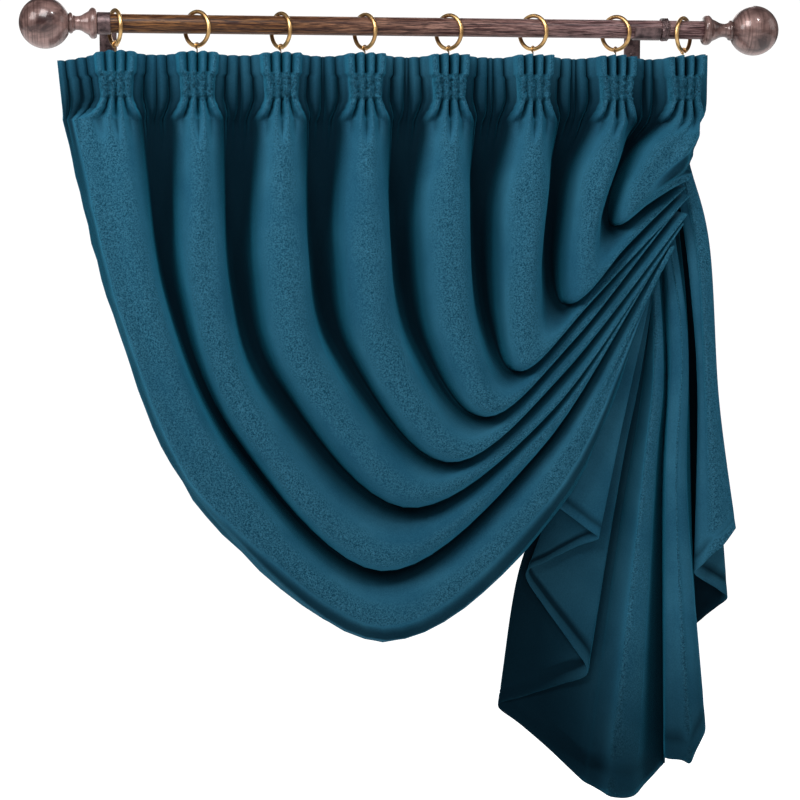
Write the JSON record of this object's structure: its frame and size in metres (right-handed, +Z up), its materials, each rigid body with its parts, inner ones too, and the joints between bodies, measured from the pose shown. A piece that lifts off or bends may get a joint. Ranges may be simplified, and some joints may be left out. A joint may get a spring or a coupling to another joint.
{
  "type": "velvet curtain on a curtain rod",
  "caption": "Pinch-pleated velvet swag that sweeps round a deep belly into side gathers, with a cascading tail, hung by rings from a wooden rod with ball finials and wall brackets.",
  "frame": {"origin": "centre line of the left wall plate's back face, at the height of the rod's axis", "axes": "+X along the rod to the right, +Y into the wall, +Z up"},
  "size_m": [1.1566, 0.1664, 1.2358],
  "materials": {
    "velvet": "deep petrol-blue pile velvet",
    "walnut": "dark stained, satin",
    "bronze": "brown bronze-toned stain, satin",
    "bracket_metal": "aged bronze paint",
    "brass": "polished"
  },
  "bodies": {
    "root": {"swag_panel": "velvet", "tail_panel": "velvet", "rod": "walnut", "finial_left": "bronze", "finial_right": "bronze", "bracket_left": "bracket_metal", "bracket_right": "bracket_metal", "stop_collar": "bracket_metal", "ring_1": "brass", "ring_2": "brass", "ring_3": "brass", "ring_4": "brass", "ring_5": "brass", "ring_6": "brass", "ring_7": "brass", "ring_8": "brass", "hook_1": "brass", "hook_2": "brass", "hook_3": "brass", "hook_4": "brass", "hook_5": "brass", "hook_6": "brass", "hook_7": "brass", "hook_8": "brass"}
  },
  "joints": []
}
